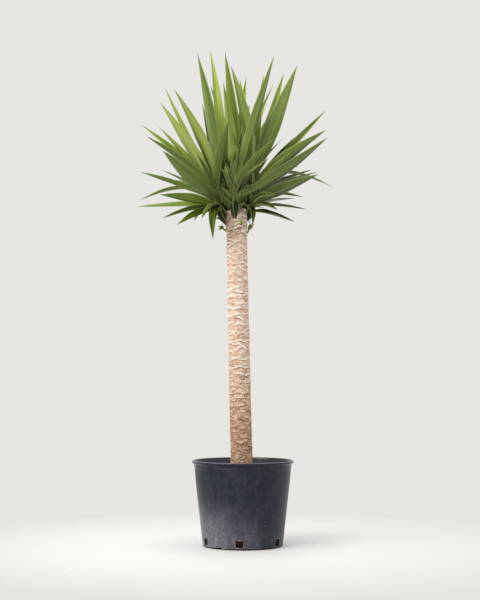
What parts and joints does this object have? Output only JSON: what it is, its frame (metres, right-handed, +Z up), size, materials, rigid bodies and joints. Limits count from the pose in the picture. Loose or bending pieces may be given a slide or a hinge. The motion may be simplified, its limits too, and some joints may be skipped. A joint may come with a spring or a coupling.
{
  "type": "potted yucca",
  "caption": "Potted cane yucca: a bare ringed cane with heads of long sword leaves, standing in mix in a tapered nursery pot with a rolled lip and drain slots.",
  "frame": {"origin": "centre of the pot's flat foot", "axes": "+Z up along the pot's axis, -Y towards the front of the plant, as pictured"},
  "size_m": [0.5087, 0.5918, 1.247],
  "materials": {
    "pot_plastic": "dull black moulded polypropylene, dusty low on the wall",
    "potting_mix": "loose dark mix of bark and fibre",
    "bark": "dry pale bark with cream leaf scars, browner and corky below",
    "leaf": "tough satin leaf with fine lengthwise veins"
  },
  "bodies": {
    "root": {"pot": "pot_plastic", "soil": "potting_mix", "trunk": "bark", "head_left": "leaf", "head_right": "leaf", "head_front": "leaf", "head_back": "leaf", "shoot_left": "leaf", "shoot_right": "leaf", "bud_front": "leaf"}
  },
  "joints": []
}
